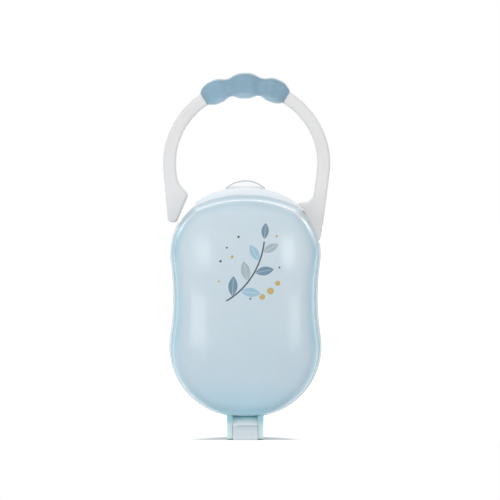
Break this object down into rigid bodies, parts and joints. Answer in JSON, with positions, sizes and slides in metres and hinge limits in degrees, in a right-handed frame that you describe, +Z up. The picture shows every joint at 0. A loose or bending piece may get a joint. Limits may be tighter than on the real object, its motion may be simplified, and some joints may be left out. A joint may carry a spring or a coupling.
{
  "type": "pacifier case",
  "caption": "Waisted pacifier case with a translucent front cover hinged at its foot, a thumb latch under the brow and a swing-open carrying handle with a soft grip.",
  "frame": {"origin": "on the flat of the foot, on the case's centre line and in the parting plane of the two shells", "axes": "+Z up from the foot to the handle, -Y out of the front cover, +X to the handle's pivot side"},
  "size_m": [0.0752, 0.046, 0.1648],
  "materials": {
    "shell_white": "smooth moulded",
    "cover_blue": "smooth moulded, translucent",
    "handle_white": "satin moulded",
    "grip_blue": "soft matte",
    "pin_steel": "drawn"
  },
  "bodies": {
    "shell": {"back_shell": "shell_white", "cover_hinge_pin": "pin_steel", "handle_pivot_pin": "handle_white", "latch_spring": "pin_steel"},
    "cover": {"front_cover": "cover_blue"},
    "handle": {"handle_arm": "handle_white", "handle_grip": "grip_blue"},
    "latch": {"latch_button": "shell_white", "latch_hook": "shell_white"}
  },
  "joints": [
    {"name": "cover_hinge", "type": "hinge", "parent": "shell", "child": "cover", "pos_m": [0, -0.0015, 0.0047], "axis": [1, 0, 0], "range_deg": [0, 90]},
    {"name": "handle_swing", "type": "hinge", "parent": "shell", "child": "handle", "pos_m": [0.026, 0.0065, 0.09358], "axis": [0, 1, 0], "range_deg": [0, 70]},
    {"name": "latch_press", "type": "slide", "parent": "shell", "child": "latch", "axis": [0, 0, -1], "range_m": [0, 0.002], "stiffness_N_per_m": 900, "springref_m": -0.001, "deforming": ["latch_spring"]}
  ]
}
